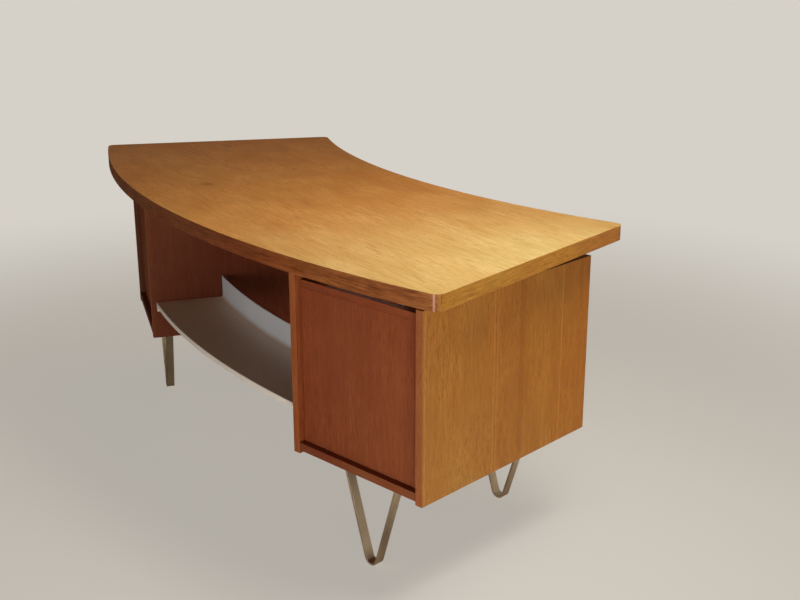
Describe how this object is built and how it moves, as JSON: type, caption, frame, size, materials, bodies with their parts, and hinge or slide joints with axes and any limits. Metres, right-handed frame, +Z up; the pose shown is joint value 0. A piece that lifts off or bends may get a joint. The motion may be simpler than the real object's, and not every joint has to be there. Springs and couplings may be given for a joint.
{
  "type": "desk",
  "caption": "Curved executive desk: a crescent top floats on spacer rails over splayed drawer pedestals on V-shaped metal legs, with a white shelf between them.",
  "frame": {"origin": "on the floor, under the middle of the desk's bounding box", "axes": "+X to the right seen from the visitor side, +Y towards the user, +Z up; the desk is symmetric about X = 0 but for its drawers"},
  "size_m": [1.9444, 0.8568, 0.75],
  "materials": {
    "veneer_top": "satin lacquered veneer",
    "lipping": "satin lacquered solid wood",
    "veneer_side": "satin lacquered veneer",
    "panel_wood": "satin lacquered veneer",
    "core_board": "raw board",
    "drawer_wood": "matt lacquered solid wood",
    "knob_wood": "satin lacquered turned wood",
    "white_wood": "white lacquer",
    "white_metal": "satin white paint",
    "leg_metal": "satin nickel",
    "screws": "zinc plated"
  },
  "bodies": {
    "desk": {"desktop_core": "core_board", "top_veneer": "veneer_top", "lipping_front": "lipping", "lipping_rear": "lipping", "lipping_end_right": "lipping", "lipping_end_left": "lipping", "spacer_rails": "white_wood", "top_bolts": "screws", "leg_screws": "screws", "shelf_screws": "screws", "shelf": "white_metal", "runners": "drawer_wood", "side_outer_right": "veneer_side", "side_inner_right": "veneer_side", "deck_right": "panel_wood", "floor_right": "veneer_side", "visitor_panel_right": "panel_wood", "leg_front_right": "leg_metal", "leg_rear_right": "leg_metal", "side_outer_left": "veneer_side", "side_inner_left": "veneer_side", "deck_left": "panel_wood", "floor_left": "veneer_side", "visitor_panel_left": "panel_wood", "leg_front_left": "leg_metal", "leg_rear_left": "leg_metal"},
    "drawer_right_top": {"right_top_front": "veneer_side", "right_top_side_outer": "drawer_wood", "right_top_side_inner": "drawer_wood", "right_top_back": "drawer_wood", "right_top_bottom": "drawer_wood", "right_top_knob": "knob_wood"},
    "drawer_right_middle": {"right_middle_front": "veneer_side", "right_middle_side_outer": "drawer_wood", "right_middle_side_inner": "drawer_wood", "right_middle_back": "drawer_wood", "right_middle_bottom": "drawer_wood", "right_middle_knob": "knob_wood"},
    "drawer_right_low": {"right_low_front": "veneer_side", "right_low_side_outer": "drawer_wood", "right_low_side_inner": "drawer_wood", "right_low_back": "drawer_wood", "right_low_bottom": "drawer_wood", "right_low_knob": "knob_wood"},
    "drawer_left_top": {"left_top_front": "veneer_side", "left_top_side_outer": "drawer_wood", "left_top_side_inner": "drawer_wood", "left_top_back": "drawer_wood", "left_top_bottom": "drawer_wood", "left_top_knob": "knob_wood"},
    "drawer_left_deep": {"left_deep_front": "veneer_side", "left_deep_side_outer": "drawer_wood", "left_deep_side_inner": "drawer_wood", "left_deep_back": "drawer_wood", "left_deep_bottom": "drawer_wood", "left_deep_knob": "knob_wood"}
  },
  "joints": [
    {"name": "right_top_slide", "type": "slide", "parent": "desk", "child": "drawer_right_top", "axis": [-0.2453, 0.9694, 0], "range_m": [0, 0.38]},
    {"name": "right_middle_slide", "type": "slide", "parent": "desk", "child": "drawer_right_middle", "axis": [-0.2453, 0.9694, 0], "range_m": [0, 0.38]},
    {"name": "right_low_slide", "type": "slide", "parent": "desk", "child": "drawer_right_low", "axis": [-0.2453, 0.9694, 0], "range_m": [0, 0.38]},
    {"name": "left_top_slide", "type": "slide", "parent": "desk", "child": "drawer_left_top", "axis": [0.2453, 0.9694, 0], "range_m": [0, 0.38]},
    {"name": "left_deep_slide", "type": "slide", "parent": "desk", "child": "drawer_left_deep", "axis": [0.2453, 0.9694, 0], "range_m": [0, 0.38]}
  ]
}
